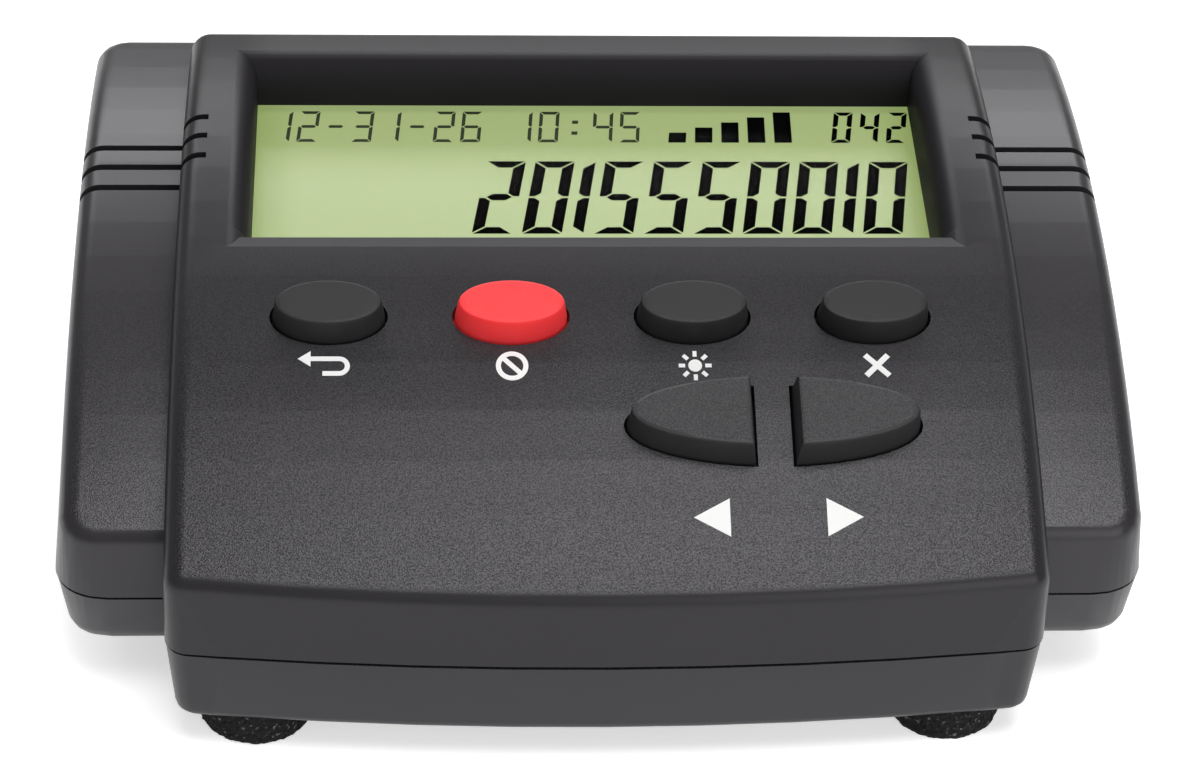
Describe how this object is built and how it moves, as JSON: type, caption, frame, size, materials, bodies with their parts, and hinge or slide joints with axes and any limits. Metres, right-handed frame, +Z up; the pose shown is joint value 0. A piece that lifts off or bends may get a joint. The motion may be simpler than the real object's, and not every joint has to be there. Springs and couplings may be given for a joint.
{
  "type": "caller id box",
  "caption": "Desktop caller display box with a domed housing, a deep display window, push keys, rear telephone sockets and a battery bay under a hinged door.",
  "frame": {"origin": "middle of the footprint, on the surface that the feet stand on", "axes": "+X to the right of someone facing the display, +Y towards the back with the sockets, +Z up"},
  "size_m": [0.1192, 0.0927, 0.0423],
  "materials": {
    "housing": "fine moulded texture",
    "keys": "smooth satin",
    "red_key": "smooth satin",
    "feet": "rough foam rubber",
    "mat": "silicone rubber",
    "lens": "clear moulded plastic",
    "lcd": "reflective display glass",
    "light": "white light guide",
    "holder": "plain moulded",
    "board": "lacquered board",
    "screw_steel": "zinc plated",
    "chip": "moulded resin",
    "gold_contact": "gold plated",
    "relay": "plain moulded",
    "capacitor": "dipped resin",
    "ribbon": "flat cable",
    "cell": "plain sleeve",
    "cell_contact": "nickel plated"
  },
  "bodies": {
    "housing": {"top_shell": "housing", "bottom_shell": "housing", "feet": "feet", "key_mat": "mat", "lcd_connector": "mat", "display_lens": "lens", "lcd_panel": "lcd", "backlight_panel": "light", "lcd_holder": "holder", "line_jack": "holder", "phone_jack": "holder", "lcd_board": "board", "main_board": "board", "line_board": "board", "housing_screws": "screw_steel", "lcd_screws": "screw_steel", "board_screws": "screw_steel", "line_board_screws": "screw_steel", "crystal": "screw_steel", "processor_chip": "chip", "memory_chip": "chip", "decoder_chip": "chip", "bridge_rectifier": "chip", "line_contacts": "gold_contact", "phone_contacts": "gold_contact", "hook_relay": "relay", "coupling_capacitors": "capacitor", "display_ribbon": "ribbon", "line_ribbon": "ribbon", "cells": "cell", "cell_springs": "cell_contact", "cell_plates": "cell_contact"},
    "key_back": {"key_back": "keys"},
    "key_bright": {"key_bright": "keys"},
    "key_delete": {"key_delete": "keys"},
    "key_left": {"key_left": "keys"},
    "key_right": {"key_right": "keys"},
    "key_block": {"key_block": "red_key"},
    "door": {"battery_door": "housing"}
  },
  "joints": [
    {"name": "key_back_press", "type": "slide", "parent": "housing", "child": "key_back", "axis": [0, 0.3511, -0.9363], "range_m": [0, 0.0011], "stiffness_N_per_m": 900},
    {"name": "key_bright_press", "type": "slide", "parent": "housing", "child": "key_bright", "axis": [0, 0.3511, -0.9363], "range_m": [0, 0.0011], "stiffness_N_per_m": 900},
    {"name": "key_delete_press", "type": "slide", "parent": "housing", "child": "key_delete", "axis": [0, 0.3511, -0.9363], "range_m": [0, 0.0011], "stiffness_N_per_m": 900},
    {"name": "key_left_press", "type": "slide", "parent": "housing", "child": "key_left", "axis": [0, 0.3511, -0.9363], "range_m": [0, 0.0011], "stiffness_N_per_m": 900},
    {"name": "key_right_press", "type": "slide", "parent": "housing", "child": "key_right", "axis": [0, 0.3511, -0.9363], "range_m": [0, 0.0011], "stiffness_N_per_m": 900},
    {"name": "key_block_press", "type": "slide", "parent": "housing", "child": "key_block", "axis": [0, 0.3511, -0.9363], "range_m": [0, 0.0011], "stiffness_N_per_m": 900},
    {"name": "battery_door_hinge", "type": "hinge", "parent": "housing", "child": "door", "pos_m": [0, -0.0269, 0.00495], "axis": [-1, 0, 0], "range_deg": [0, 55]}
  ]
}
